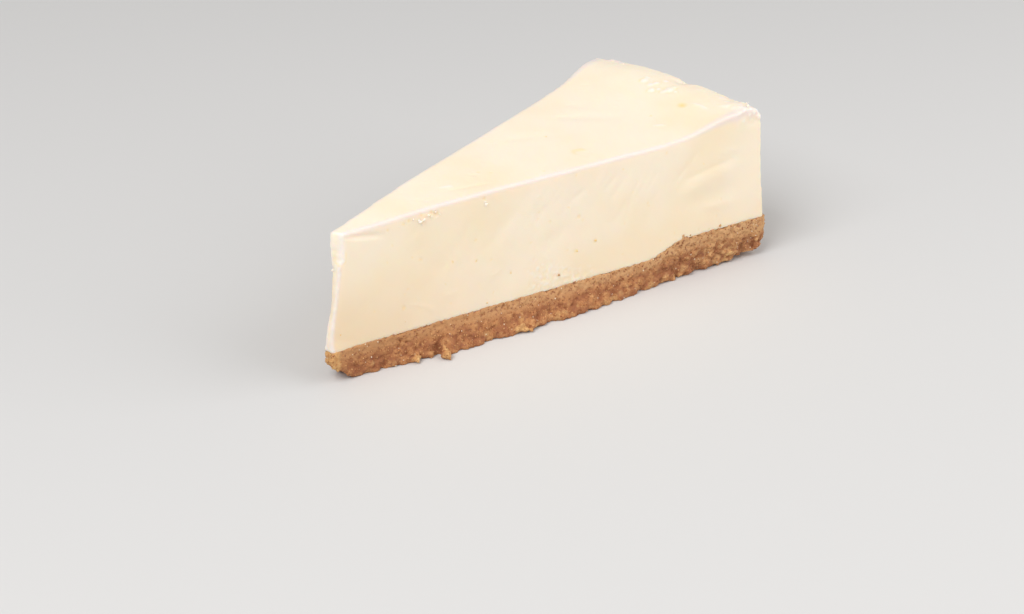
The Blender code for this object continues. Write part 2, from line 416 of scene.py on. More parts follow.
def pressed_crumbs(chance):
    """Places for the crumbs pressed into both cut faces, the rim and the tip."""
    places = []
    for side in (-1.0, 1.0):
        for index in range(CRUMBS_A_FACE):
            furthest = CAKE_RADIUS if index % TIP_CRUMB_EVERY else TIP_CRUMB_REACH
            r = chance.uniform(1.6 * MM, furthest - 1.0 * MM)
            up = chance.random()
            most = CRUMB_LEAST + (CRUMB_MOST - CRUMB_LEAST) * (1.1 - 0.6 * up)
            size = CRUMB_LEAST + (most - CRUMB_LEAST) * chance.random() ** 2
            spread = float(foot_spread(r)) * (1.0 - up) ** 1.5
            out = spread - size * chance.uniform(0.25, 0.75)
            height = max(up * float(join_height(r)), tip_foot(r) + 0.5 * size)
            places.append((on_face(r, height, side, out), size, 0.5))
    for _ in range(CRUMBS_ON_RIM):
        size = CRUMB_LEAST + (CRUMB_MOST - CRUMB_LEAST) * chance.random() ** 2
        height = chance.random() * float(join_height(CAKE_RADIUS))
        angle = chance.uniform(-HALF_ANGLE, HALF_ANGLE)
        r = rim_wall(height) - size * chance.uniform(0.4, 0.8)
        places.append((on_rim(angle, r, height), size, 0.5))
    for _ in range(CRUMBS_ON_TIP):
        size = CRUMB_LEAST + 0.6 * (CRUMB_MOST - CRUMB_LEAST) * chance.random()
        height = chance.uniform(0.5 * MM, BASE_DEPTH)
        nose = tip_front(height) + chance.uniform(0.5, 1.4) * size
        across = chance.uniform(-0.8, 1.0 + FAR_CUT_OUT / MM) * MM
        places.append((Vector((axis_x + nose, across, height)), size, 0.5))
    return places


def foot_crumbs(chance):
    """Places for coarse crumbs that broke out at the foot. A high last number is a golden one."""
    places = []
    for r, z, out, size in FOOT_LUMPS:
        places.append((on_face(r * MM, z * MM, -1.0, out * MM), size * MM, 1.0))
    for side in (-1.0, 1.0):
        for index in range(FOOT_CRUMBS_A_FACE + FOOT_KNOBS_A_FACE):
            r = chance.uniform(6.0 * MM, CAKE_RADIUS - 4.0 * MM)
            size = (0.30 + 0.55 * chance.random() ** 2) * MM
            height = size * chance.uniform(0.8, 4.0)
            if index < FOOT_KNOBS_A_FACE:
                r = CAKE_RADIUS * (0.3 + 0.68 * (index + chance.random()) / FOOT_KNOBS_A_FACE)
                size = chance.uniform(0.8, 1.5) * MM
                height = 0.9 * size
            height += tip_foot(r)
            spread = float(foot_spread(r)) * (1.0 - height / float(join_height(r))) ** 1.5
            out = spread + chance.uniform(0.1, 0.6) * MM - 0.5 * size
            places.append((on_face(r, height, side, out), size, chance.choice((0.0, 0.0, 0.0, 0.6))))
    for _ in range(FOOT_CRUMBS_ON_RIM):
        size = chance.uniform(0.3, 1.1) * MM
        height = size + chance.uniform(0.0, 4.0) * MM
        place = on_rim(chance.uniform(-0.97, 0.97) * HALF_ANGLE, rim_wall(height) - 0.7 * size, height)
        places.append((place, size, chance.choice((0.0, 0.0, 1.0))))
    return places


def near_to(points, places):
    """The last number of the crumb that each point belongs to, or 0 for a point of none."""
    tree = KDTree(len(points))
    for index, point in enumerate(points):
        tree.insert(point, index)
    tree.balance()
    found = np.zeros(len(points))
    for centre, size, shade in places:
        for _, index, _ in tree.find_range(centre, 1.25 * size):
            found[index] = max(found[index], shade)
    return found


def field(points, length, seed=0):
    """Smooth noise between about -1 and 1 at each point, with waves this long."""
    start = Vector((seed * 7.3, seed * -3.1, seed * 5.7))
    return np.array([noise.noise(Vector(point) / length + start) for point in points])


def clump_at(point):
    """Crumbs hold together in clumps: 1 at a clump's middle, and less than 0 in its creases."""
    nearest = noise.voronoi(Vector(point) / CLUMP_SIZE)[0][0]
    return 1.0 - 1.9 * nearest


def trim_base(points):
    """Swells the crumbs into clumps, and flattens them where knife, tin and filling pressed."""
    clump = np.array([clump_at(point) for point in points])
    for side in (-1.0, 1.0):
        out, r = face_distance(points, side)
        up = np.clip(points[:, 2] / join_height(r), 0.0, 1.0)
        loose = 1.0 - ramp(up, 0.15, 0.65)
        near = ramp_mm(out, -5.0, 3.0) * (r > 9.0 * MM)
        swollen = near * loose * CLUMP_DEPTH * clump
        points += outwards(swollen, side)
        out = out + swollen
        lobe = np.array([noise.noise(Vector((reach, side, 0.0))) for reach in r / FOOT_LOBE])
        for hollow in FOOT_HOLLOWS if side < 0.0 else ():
            lobe = lobe - 1.3 * np.exp(-(((r - hollow * MM) / (2.0 * MM)) ** 2))
        hanging = near * loose**2 * FOOT_LOBE_DEPTH * lobe
        points += outwards(hanging, side)
        out = out + hanging
        rough = (PROUD_AT_FOOT - PROUD_AT_TOP) * (1.0 - ramp(up, 0.2, 0.6))
        rough = rough * (1.0 - 0.6 * ramp_mm(r, 112.0, 16.0))
        allowed = foot_spread(r) * (1.0 - up) ** 1.5 + PROUD_AT_TOP + rough
        for lump_r, _, lump_out, size in FOOT_LUMPS if side < 0.0 else ():
            hangs = (lump_out + size) * MM * (np.abs(r - lump_r * MM) < 1.1 * size * MM)
            allowed = np.maximum(allowed, hangs)
        points -= outwards(0.75 * np.maximum(out - allowed, 0.0), side)
        # The corner at the rim is rounded off
        out, r = face_distance(points, side)
        past_face = out + RIM_CORNER_ROUND - np.minimum(allowed, 0.0)
        past_rim = r - CAKE_RADIUS + RIM_CORNER_ROUND
        over = np.hypot(past_face, past_rim) - RIM_CORNER_ROUND
        over = np.where((past_face > 0.0) & (past_rim > 0.0), np.maximum(over, 0.0), 0.0)
        points -= outwards(over * 0.7, side)
    r = reach_of(points)
    shrink = 1.0 - 0.8 * np.maximum(r - CAKE_RADIUS - PROUD_AT_TOP, 0.0) / r
    points[:, 0] = axis_x + (points[:, 0] - axis_x) * shrink
    points[:, 1] *= shrink
    near = np.maximum(face_distance(points, -1.0)[0], face_distance(points, 1.0)[0])
    near = np.maximum(near, r - CAKE_RADIUS)
    # At the rim's two corners the foot is drawn up
    lifted = ramp_mm(r, 122.0, 15.0) * ramp_mm(near, -6.0, 5.0)
    points[:, 2] += RIM_FOOT_LIFT * lifted * np.clip(1.0 - points[:, 2] / (7.0 * MM), 0.0, 1.0)
    wave = JOIN_WAVE * (0.4 + field(points, JOIN_WAVE_LENGTH))
    lid = join_height(r) - LAYER_GAP / 2.0 + wave * ramp_mm(near, -1.6, 0.8)
    # The knob of crumbs is pushed up into the filling at the head of the step
    knob = np.hypot(r - JOIN_KNOB, face_distance(points, -1.0)[0]) / (1.6 * MM)
    lid = lid + JOIN_KNOB_RISE * smooth(1.3 - knob)
    points[:, 2] = np.clip(points[:, 2], 0.0, lid)
    return points


def add_node(tree, kind, **settings):
    """Adds a shader node with these settings."""
    made = tree.nodes.new(kind)
    for setting, value in settings.items():
        setattr(made, setting, value)
    return made


def noise_value(tree, coords, blotch, detail=2.0):
    """A noise between 0 and 1 whose blotches are this far across."""
    made = add_node(tree, "ShaderNodeTexNoise")
    made.inputs["Scale"].default_value = 1.0 / blotch
    made.inputs["Detail"].default_value = detail
    tree.links.new(coords, made.inputs["Vector"])
    return made.outputs["Fac"]


def remap(tree, value, low, high, to_low=0.0, to_high=1.0):
    """Stretches a value's range from low and high to two other numbers."""
    made = add_node(tree, "ShaderNodeMapRange", interpolation_type="SMOOTHSTEP")
    limits = {"From Min": low, "From Max": high, "To Min": to_low, "To Max": to_high}
    for name, number in limits.items():
        made.inputs[name].default_value = number
    tree.links.new(value, made.inputs["Value"])
    return made.outputs["Result"]


def mix_colours(tree, share, first, second):
    """Mixes two colours by a mask. Each colour is a fixed one or another node's."""
    made = add_node(tree, "ShaderNodeMix", data_type="RGBA")
    tree.links.new(share, made.inputs[0])
    for socket, colour in ((made.inputs[6], first), (made.inputs[7], second)):
        if isinstance(colour, tuple):
            socket.default_value = (*colour, 1.0)
        else:
            tree.links.new(colour, socket)
    return made.outputs[2]


def combine(tree, operation, first, second):
    """Adds, multiplies or compares two values."""
    made = add_node(tree, "ShaderNodeMath", operation=operation)
    for socket, value in zip(made.inputs, (first, second)):
        if isinstance(value, float):
            socket.default_value = value
        else:
            tree.links.new(value, socket)
    return made.outputs[0]


def mask_value(tree, name):
    """Reads one of the masks stored on a piece's vertices."""
    return add_node(tree, "ShaderNodeAttribute", attribute_name=name).outputs["Fac"]


def axes_of(tree, coords):
    """The coordinates' X, Y and Z, each as a value."""
    made = add_node(tree, "ShaderNodeSeparateXYZ")
    tree.links.new(coords, made.inputs["Vector"])
    return made.outputs


def colour_steps(tree, value, steps):
    """Turns a value into a colour by a few steps, each a place between 0 and 1 and a colour."""
    ramp = add_node(tree, "ShaderNodeValToRGB")
    stops = ramp.color_ramp.elements
    while len(stops) < len(steps):
        stops.new(0.5)
    for stop, (place, colour) in zip(stops, steps):
        stop.position = place
        stop.color = (*colour, 1.0)
    tree.links.new(value, ramp.inputs["Fac"])
    return ramp.outputs["Color"]


def grain_group():
    """The effect of grains and pores, which crumb and cheese share at their own sizes."""
    tree = bpy.data.node_groups.new("grain", "ShaderNodeTree")
    tree.interface.new_socket("Vector", in_out="INPUT", socket_type="NodeSocketVector")
    for name in ("Scale", "Pores"):
        tree.interface.new_socket(name, in_out="INPUT", socket_type="NodeSocketFloat")
    for name in ("Height", "Pore"):
        tree.interface.new_socket(name, in_out="OUTPUT", socket_type="NodeSocketFloat")
    given = tree.nodes.new("NodeGroupInput")
    result = tree.nodes.new("NodeGroupOutput")
    grains = add_node(tree, "ShaderNodeTexNoise")
    grains.inputs["Detail"].default_value = 4.0
    grains.inputs["Roughness"].default_value = 0.6
    cells = add_node(tree, "ShaderNodeTexVoronoi", feature="F1")
    for texture in (grains, cells):
        tree.links.new(given.outputs["Vector"], texture.inputs["Vector"])
        tree.links.new(given.outputs["Scale"], texture.inputs["Scale"])
    pore = combine(tree, "LESS_THAN", cells.outputs["Distance"], given.outputs["Pores"])
    sparse = combine(tree, "GREATER_THAN", grains.outputs["Fac"], 0.5)
    pore = combine(tree, "MULTIPLY", pore, sparse)
    height = combine(tree, "SUBTRACT", grains.outputs["Fac"], pore)
    tree.links.new(height, result.inputs["Height"])
    tree.links.new(pore, result.inputs["Pore"])
    return tree


def add_grain(tree, coords, size, pores):
    """Places the grain effect in a material, with grains of this size and this share of pores."""
    made = add_node(tree, "ShaderNodeGroup", node_tree=grain)
    made.inputs["Scale"].default_value = 1.0 / size
    made.inputs["Pores"].default_value = pores
    tree.links.new(coords, made.inputs["Vector"])
    return made


def add_bump(tree, height, depth):
    """Relief this deep, too fine for the mesh, for the material's normal."""
    made = add_node(tree, "ShaderNodeBump")
    made.inputs["Strength"].default_value = 1.0
    made.inputs["Distance"].default_value = depth
    tree.links.new(height, made.inputs["Height"])
    tree.links.new(made.outputs["Normal"], tree.nodes["Principled BSDF"].inputs["Normal"])


def new_finish(name, roughness, specular):
    """A material with its shader's plain numbers set, its node tree and its coordinates."""
    finish = bpy.data.materials.new(name)
    finish.use_nodes = True
    tree = finish.node_tree
    shader = tree.nodes["Principled BSDF"]
    shader.inputs["Roughness"].default_value = roughness
    shader.inputs["Specular IOR Level"].default_value = specular
    coords = add_node(tree, "ShaderNodeTexCoord").outputs["Object"]
    return finish, tree, shader, coords


def pressed_crumb_finish():
    """Brown biscuit: each crumb its own tone, smeared paler by the knife, with painted shade in its
    pits and creases.
    """
    finish, tree, shader, coords = new_finish("pressed_crumb", 0.85, 0.25)
    cells = add_node(tree, "ShaderNodeTexVoronoi", feature="F1")
    cells.inputs["Scale"].default_value = 1.0 / CRUMB_COLOUR_SIZE
    tree.links.new(coords, cells.inputs["Vector"])
    each = add_node(tree, "ShaderNodeSeparateColor")
    tree.links.new(cells.outputs["Color"], each.inputs["Color"])
    fine = noise_value(tree, coords, 0.45 * MM, 3.0)
    shade = combine(tree, "MULTIPLY", each.outputs["Red"], 0.4)
    shade = combine(tree, "ADD", shade, combine(tree, "MULTIPLY", fine, 1.1))
    place = axes_of(tree, coords)
    # Painted light: the crumb's tone is lifted from the tip towards the rim, making up for the shade
    # under the tucked-in foot there
    shade = combine(tree, "ADD", shade, remap(tree, place["X"], axis_x, 0.0, -0.34, -0.28))
    shade = combine(tree, "ADD", shade, remap(tree, place["X"], 18.0 * MM, 60.0 * MM, 0.0, 0.32))
    crumb = colour_steps(
        tree, shade, ((0.15, CRUMB_DARK), (0.40, CRUMB_MID), (0.58, CRUMB_MID), (0.82, CRUMB_LIGHT))
    )
    # Painted shade: the creases between the clumps are darkened
    crease = combine(tree, "MULTIPLY", mask_value(tree, "crease"), 0.7)
    crumb = mix_colours(tree, crease, crumb, CRUMB_CREASE_SHADE)
    to_rim = remap(tree, place["X"], axis_x + 20.0 * MM, axis_x + 85.0 * MM)
    smeared = mix_colours(tree, to_rim, CRUMB_SMEAR_TIP, CRUMB_SMEAR)
    patchy = remap(tree, noise_value(tree, coords, 4.0 * MM), 0.3, 0.6, 0.45, 0.85)
    smear = combine(tree, "MULTIPLY", mask_value(tree, "smear"), patchy)
    crumb = mix_colours(tree, smear, crumb, smeared)
    fleck = remap(tree, noise_value(tree, coords, 0.9 * MM, 3.0), 0.56, 0.66, 0.0, 0.75)
    crumb = mix_colours(tree, fleck, crumb, CRUMB_FLECK)
    broken = colour_steps(tree, shade, ((0.25, CRUMB_GOLD_DEEP), (0.75, CRUMB_GOLD)))
    crumb = mix_colours(tree, mask_value(tree, "gold"), crumb, broken)
    # Painted shade: the pits are darkened towards the darkest crumb colour
    pit = remap(tree, mask_value(tree, "pit"), 0.55, 1.0, 0.0, 0.9)
    tree.links.new(mix_colours(tree, pit, crumb, CRUMB_DARKEST_AND_PIT_SHADE), shader.inputs["Base Color"])
    grains = add_grain(tree, coords, 0.36 * MM, 0.22)
    add_bump(tree, grains.outputs["Height"], 0.12 * MM)
    return finish


grain = grain_group()
base = spin_section("pressed_crumb_base", base_outline(), 10)

# The cut faces of the core are drawn in, to leave room for the crumbs
bpy.ops.object.mode_set(mode="EDIT")
bpy.ops.mesh.select_mode(type="FACE")
for side in (-1.0, 1.0):
    bpy.ops.mesh.select_all(action="DESELECT")
    core = bmesh.from_edit_mesh(base.data)
    for face in core.faces:
        face.select_set(face.normal.dot(face_normal(side)) > 0.99)
    bmesh.update_edit_mesh(base.data)
    bpy.ops.transform.translate(value=-CORE_INSET * face_normal(side))
bpy.ops.object.mode_set(mode="OBJECT")
blunt_nose(base)

# An even mesh lets its foot spread out past the cut
apply_modifier(base, "even_mesh", "REMESH", mode="VOXEL", voxel_size=CORE_CELL)
points = points_of(base)
for side in (-1.0, 1.0):
    out, r = face_distance(points, side)
    up = np.clip(points[:, 2] / join_height(r), 0.0, 1.0)
    near = ramp_mm(out, -3.0, 2.5)
    points += outwards(near * foot_spread(r) * (1.0 - up) ** 1.5, side)
set_points(base, points)

crumb_shapes = [ragged_crumb(seed, 2, 0.30) for seed in range(6)]
at_foot = foot_crumbs(random.Random(12))
placed = [(on_face(JOIN_KNOB, z * MM, -1.0, -0.5 * MM), 0.8 * MM, 0.0) for z in JOIN_KNOB_CRUMBS]
placed.append((Vector((axis_x + TIP_FILL[0], TIP_FILL[1], TIP_FILL[2])), TIP_FILL[3], 0.0))
heap = scatter("pressed_crumbs", crumb_shapes, pressed_crumbs(random.Random(7)) + at_foot + placed, 8)
pick(base, heap)
bpy.ops.object.join()
apply_modifier(base, "skin", "REMESH", mode="VOXEL", voxel_size=CRUMB_SKIN_CELL)
base = keep_outer_skin(base)
set_points(base, trim_base(points_of(base)))

# Fine grain is raised all over the broken sides, but not where filling and base meet
sides = base.vertex_groups.new(name="broken_sides")
for index, point in enumerate(points_of(base)):
    lid = float(join_height(math.hypot(point[0] - axis_x, point[1]))) - 2.0 * LAYER_GAP
    if 0.2 * MM < point[2] < lid:
        sides.add([index], 1.0, "REPLACE")
grit = bpy.data.textures.new("crumb_grit", "CLOUDS")
grit.noise_scale = GRAIN_SIZE
grit.noise_depth = 2
apply_modifier(
    base, "grit", "DISPLACE", texture=grit, texture_coords="LOCAL", strength=GRAIN_DEPTH,
    mid_level=0.5, vertex_group="broken_sides",
)
base.vertex_groups.clear()
apply_modifier(base, "closed_skin", "REMESH", mode="VOXEL", voxel_size=CRUMB_SKIN_CELL)
base = keep_outer_skin(base)

thin_flat_parts(base, BASE_TRIANGLES)
points = points_of(base)
up = points[:, 2] / join_height(reach_of(points))
# The pit mask marks the hollows that get painted shade
set_mask(base, "pit", hollowness(base, 6, PIT_DEPTH))
set_mask(base, "smear", ramp(up, 0.5, 0.35))
# Painted shade for the creases between the clumps, low down on the broken sides
crease = np.array([0.5 - clump_at(point) for point in points])
set_mask(base, "crease", smooth(crease / 0.8) * (1.0 - ramp(up, 0.45, 0.35)))
gold = near_to(points, at_foot) * (0.75 + 0.6 * field(points, GRAIN_SIZE))
gold = np.maximum(gold, smooth((3.0 * MM - points[:, 0] + axis_x) / (1.4 * MM)))
set_mask(base, "gold", spread_over_skin(base, gold, 2))
base.data.shade_smooth()
base.data.materials.clear()
base.data.materials.append(pressed_crumb_finish())
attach(base, "root")
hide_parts("biscuit_base")

# Biscuit dust and sugar
# The finest crumbs, and the coarse sugar baked into the biscuit, which glints where a crumb
# broke open. They cling all over the broken sides of the base, each grain a shade of its own.

DUST_GRAINS = 3800
DUST_LEAST = 0.10 * MM
DUST_MOST = 0.24 * MM
SUGAR_GRAINS = 200
SUGAR_SIZE = 0.10 * MM
SUGAR_WHITE = (0.840, 0.700, 0.520)
DUST_STEPS = ((0.0, CRUMB_DARKEST_AND_PIT_SHADE), (0.25, CRUMB_DARK), (0.5, CRUMB_MID), (1.0, CRUMB_LIGHT))


def on_broken_sides(count, chance, least, most):
    """Places for grains of these sizes, half sunk in the skin of the base's broken sides."""
    skin, facing = points_of(base), points_of(base, "normal")
    free = (skin[:, 2] > 0.25 * MM) & (skin[:, 2] < join_height(reach_of(skin)) - 0.3 * MM)
    free = np.nonzero(free & (facing[:, 2] > -0.6))[0]
    places = []
    for _ in range(count):
        index = free[chance.randrange(len(free))]
        size = least + (most - least) * chance.random() ** 2
        places.append((skin[index] + 0.25 * size * facing[index], size, chance.random()))
    return places


def grains_finish(name, roughness, specular, steps):
    """Loose grains of one kind, each coloured by its own shade."""
    finish, tree, shader, _ = new_finish(name, roughness, specular)
    tree.links.new(colour_steps(tree, mask_value(tree, "shade"), steps), shader.inputs["Base Color"])
    return finish


def plain_finish(name, roughness, specular, colour):
    """A material of one even colour."""
    finish, _, shader, _ = new_finish(name, roughness, specular)
    shader.inputs["Base Color"].default_value = (*colour, 1.0)
    return finish


dust_shapes = [ragged_crumb(seed, 1, 0.30) for seed in range(40, 45)]
dust_places = on_broken_sides(DUST_GRAINS, random.Random(31), DUST_LEAST, DUST_MOST)
dust = scatter("biscuit_dust", dust_shapes, dust_places, 32)
dust.data.materials.append(grains_finish("biscuit_dust", 0.85, 0.2, DUST_STEPS))
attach(dust, "root")

bpy.ops.mesh.primitive_cube_add(size=1.6)
crystal = bpy.context.object
sugar_places = on_broken_sides(SUGAR_GRAINS, random.Random(33), SUGAR_SIZE, 1.7 * SUGAR_SIZE)
sugar = scatter("sugar_grains", [crystal], sugar_places, 34)
sugar.data.materials.append(plain_finish("sugar", 0.18, 0.6, SUGAR_WHITE))
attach(sugar, "root")
for shape in crumb_shapes + dust_shapes + [crystal]:
    bpy.data.objects.remove(shape)

# The set filling
# Soft cheese poured on the base and baked until it just holds. It is one piece with its skin:
# level in the middle, with a bead where it clung to the tin, and cut faces that show how the
# knife dragged through it.

# The nose leans out from its head to its foot: height and distance from the axis, in mm
NOSE_OUTLINE = ((10.0, 0.6), (14.0, 1.0), (18.0, 1.65), (26.0, 2.85), (31.0, 3.6), (35.0, 3.8))
# Its near corner chipped off from the head down to this height, this deep and this far across
CHIP_FOOT = 32.0 * MM
CHIP = 0.9 * MM
CHIP_REACH = 2.4 * MM
# Relief of the nose, of the torn upper rim and of the side that leant on the tin
NOSE_RAGGED = 0.16 * MM
RIM_FRAY = 0.26 * MM
WALL_WAVE = 0.14 * MM
FAR_BEAD_DROP = 1.0 * MM
NEAR_BEAD_LIFT = 0.8 * MM
RIM_NICK = 0.9 * MM
FOOT_IN_BASE = 0.6 * MM
TOP_LEVEL = 42.4 * MM
TIP_DROOP = 1.3 * MM
TIP_DROOP_REACH = 45.0 * MM
BEAD_RADIUS = 128.0 * MM
BEAD_RISE = 3.9 * MM
BEAD_WIDTH = 13.0 * MM
WALL_TOP = 136.1 * MM
TOP_EDGE_ROUND = 4.2 * MM
CUT_EDGE_ROUND = 1.0 * MM
CHEESE_SKIN_CELL = 0.43 * MM
# Triangles taken away for each vertex of the underside
UNDERSIDE_DROPPED = 1.9

CREAM = (0.960, 0.820, 0.655)
CREAM_DEEP = (0.935, 0.780, 0.570)
CREAM_LOW_SHADE = (0.850, 0.680, 0.465)
CREAM_EDGE_HIGHLIGHT = (0.790, 0.700, 0.685)
CREAM_TORN_AND_HIGHLIGHT = (0.950, 0.880, 0.800)
CREAM_SPOT_AND_SHADE = (0.950, 0.690, 0.280)
# How strongly a painted highlight is laid along the top's cut edges and on the nose
EDGE_HIGHLIGHT = 0.72


def top_height(r):
    """Height of the filling's top: it droops to the tip and rises in a bead at the rim."""
    droop = TIP_DROOP * (1.0 - smooth(r / TIP_DROOP_REACH))
    return TOP_LEVEL - droop + BEAD_RISE * np.exp(-(((r - BEAD_RADIUS) / BEAD_WIDTH) ** 2))


def bead_shift(r, angle):
    """How far the bead stands over or under its even height at this angle from the middle line."""
    sunk = FAR_BEAD_DROP * ramp(angle, 5.0, 8.0) * ramp_mm(r, 104.0, 16.0)
    raised = NEAR_BEAD_LIFT * ramp(-angle, 8.5, 2.5) * ramp_mm(r, 127.0, 4.0)
    nick = RIM_NICK * np.exp(-(((angle + 0.9) / 1.1) ** 2)) * ramp_mm(r, 128.0, 4.0)
    return raised - sunk - nick


def nose_radius(z):
    """The nose's distance from the cake's axis at this height: it leans out towards its foot."""
    heights, reaches = zip(*NOSE_OUTLINE)
    return np.interp(z / MM, heights, reaches) * MM


def filling_outline():
    """The filling's section: up the tip, along the top, down the rim, back inside the base."""
    outline = []
    tip = NOSE_OUTLINE[-1][1] * MM
    head = float(top_height(tip))
    for z in np.linspace(BASE_DEPTH - FOOT_IN_BASE, head, 16):
        outline.append((float(nose_radius(z)), z))
    corner = WALL_TOP - TOP_EDGE_ROUND
    for share in np.linspace(0.0, 1.0, 70)[1:]:
        r = tip + (corner - tip) * share
        outline.append((r, float(top_height(r))))
    shoulder = float(top_height(corner)) - TOP_EDGE_ROUND
    for step in range(1, 6):
        turn = math.radians(18.0 * step)
        over, up = TOP_EDGE_ROUND * math.sin(turn), TOP_EDGE_ROUND * math.cos(turn)
        outline.append((corner + over, shoulder + up))
    foot = float(join_height(WALL_FOOT)) - FOOT_IN_BASE
    for down in np.linspace(0.0, 1.0, 12)[1:]:
        r = WALL_TOP + (WALL_FOOT - WALL_TOP) * down**1.6
        outline.append((r, shoulder + (foot - shoulder) * down))
    for share in np.linspace(1.0, 0.0, 45)[1:-1]:
        r = tip + (WALL_FOOT - tip) * share
        outline.append((r, float(join_height(r)) - FOOT_IN_BASE))
    return outline


def let_light_in(shader, share, colour, depth):
    """Lets this share of the light sink in and come out again nearby, tinted with this colour."""
    shader.inputs["Subsurface Weight"].default_value = share
    shader.inputs["Subsurface Radius"].default_value = colour
    shader.inputs["Subsurface Scale"].default_value = depth


def cheese_finish():
    """Pale set cheese: light sinks into it, its cut edges have a painted highlight, and it is whiter
    where torn.
    """
    finish, tree, shader, coords = new_finish("set_cheese", 0.50, 0.30)
    let_light_in(shader, 0.45, (1.0, 0.62, 0.36), 1.8 * MM)
    broad = remap(tree, noise_value(tree, coords, 26.0 * MM), 0.35, 0.7)
    cream = mix_colours(tree, broad, CREAM, CREAM_DEEP)
    place = axes_of(tree, coords)
    # Painted shade: darker and yellower low down towards the tip, as if no light bounced up from below
    # there
    low = remap(tree, place["Z"], BASE_DEPTH, 32.0 * MM, 0.95, 0.0)
    tip = remap(tree, place["X"], axis_x + 2.0 * MM, axis_x + 55.0 * MM, 1.0, 0.15)
    cream = mix_colours(tree, combine(tree, "MULTIPLY", low, tip), cream, CREAM_LOW_SHADE)
    # The edge mask is a painted highlight; the torn mask whitens torn cheese and paints a highlight on
    # the nose; the spot mask tints yellow spots and paints shade in hollows
    for name, colour in (("edge", CREAM_EDGE_HIGHLIGHT), ("torn", CREAM_TORN_AND_HIGHLIGHT), ("spot_and_shade", CREAM_SPOT_AND_SHADE)):
        cream = mix_colours(tree, mask_value(tree, name), cream, colour)
    tree.links.new(cream, shader.inputs["Base Color"])
    grains = add_grain(tree, coords, 0.9 * MM, 0.05)
    add_bump(tree, grains.outputs["Height"], 0.02 * MM)
    return finish


# Marks that the knife left on the near cut face. Each runs from one point to another, given by
# distance from the cake's axis and height, with its half width, its relief and its bow, in mm
KNIFE_DEPTH = 0.50
MARK_SPREAD = 1.3
NEAR_MARKS = (
    (106.0, 25.6, 131.0, 30.6, 2.4, 0.54, 0.5), (110.0, 22.6, 132.5, 24.4, 2.0, -0.24, -0.3),
    (108.0, 29.6, 129.5, 33.2, 0.9, -0.26, 0.4), (115.5, 21.0, 129.0, 21.0, 1.4, 0.25, -1.0),
    (121.5, 35.6, 129.0, 35.6, 0.8, 0.16, 0.0), (114.8, 38.4, 106.5, 30.4, 0.8, -0.24, 0.5),
    (111.4, 33.8, 107.1, 27.9, 0.6, 0.16, 0.0), (102.1, 37.3, 95.8, 28.9, 0.8, -0.20, 0.4),
    (95.6, 35.7, 90.9, 27.4, 0.7, -0.20, 0.3), (90.6, 36.5, 84.8, 29.8, 0.8, -0.20, 0.3),
    (88.5, 37.8, 82.8, 33.0, 0.7, -0.16, 0.0), (99.6, 36.6, 89.0, 25.1, 0.8, -0.18, 0.8),
    (79.2, 36.5, 72.0, 32.0, 0.8, -0.20, 0.0), (77.3, 35.7, 73.0, 33.6, 0.5, -0.12, 0.0),
    (73.1, 28.2, 63.6, 18.9, 1.7, -0.28, 0.6), (74.9, 34.9, 71.6, 28.1, 0.6, 0.13, 0.0),
    (88.0, 24.0, 82.0, 23.7, 1.0, -0.12, 0.0), (4.0, 40.0, 18.0, 37.6, 0.6, -0.60, 0.2),
    (58.9, 36.3, 46.7, 24.6, 1.9, -0.32, -1.2), (66.1, 34.5, 60.0, 29.0, 1.3, -0.24, 0.0),
    (69.4, 26.0, 62.1, 21.0, 1.3, -0.22, 0.0), (39.7, 29.8, 29.2, 23.5, 2.1, -0.22, 0.0),
    (37.7, 26.5, 31.7, 22.8, 1.2, -0.14, 0.0), (44.7, 36.1, 40.7, 34.3, 1.2, -0.12, 0.0),
    (52.5, 19.1, 46.0, 17.1, 0.9, 0.18, 0.0), (39.5, 16.1, 33.0, 15.5, 0.9, 0.17, 0.0),
    (21.3, 16.4, 32.5, 11.0, 0.6, 0.18, 1.3), (12.2, 22.0, 4.8, 13.0, 2.6, -0.28, 0.0),
)
RIPPLES_A_FACE = 60
RIPPLE_DEPTH = 0.11 * MM
BROAD_WAVE = 0.16 * MM
# Marks of the palette knife that levelled the top, from one x, y to another from the axis, in mm
TOP_MARKS = (
    (36.5, -2.6, 51.6, -8.5, 0.8, -0.12, 0.8), (89.4, 13.0, 108.8, -6.4, 2.3, -0.24, 1.5),
    (101.6, 15.9, 104.4, 9.7, 1.6, -0.14, 0.0), (70.0, 10.6, 86.1, 2.6, 2.0, -0.16, 0.0),
    (38.6, 0.4, 42.5, -2.1, 0.5, 0.16, 0.0), (107.2, -12.1, 110.0, -15.0, 0.45, 0.16, 0.0),
    (49.1, 1.2, 51.5, -1.9, 0.5, -0.13, 0.0), (28.1, 1.9, 32.6, -5.0, 0.5, -0.09, 0.0),
    (121.6, -13.0, 121.4, -20.4, 0.5, 0.20, 0.4), (124.9, -20.8, 126.0, -24.2, 0.5, 0.22, 0.0),
)
TOP_SMEARS = 46
SMEAR_DEPTH = 0.07 * MM
CRATER = (81.2 * MM, -10.9 * MM)
# Torn lumps of the blister by the rim: x and y from the axis, radius and height, in mm
BLISTER_LUMPS = (
    (124.3, 5.9, 1.1, 0.25), (126.0, 6.3, 0.9, 0.15), (123.4, 2.9, 0.9, 0.25),
    (121.4, 0.6, 1.1, 0.35), (125.1, 1.9, 0.9, 0.30), (122.8, -0.8, 0.8, 0.25),
    (122.4, -2.8, 0.9, 0.30), (123.9, -3.6, 1.3, 0.45), (125.7, -3.8, 1.0, 0.35),
    (127.6, 0.6, 0.8, 0.15), (124.2, -5.8, 0.7, 0.20),
)
# Thin curls pressed flat on the far corner, in the same numbers
CORNER_LUMPS = ((131.4, 24.6, 1.4, 0.45), (131.2, 22.4, 1.2, 0.35), (130.8, 20.2, 1.1, 0.25))
YELLOW_SPOT = (119.8 * MM, -12.2 * MM)
TOP_SPECKS = ((82.3, 3.7), (65.5, -11.8), (111.6, -8.1), (52.8, -0.3), (54.9, -2.8))
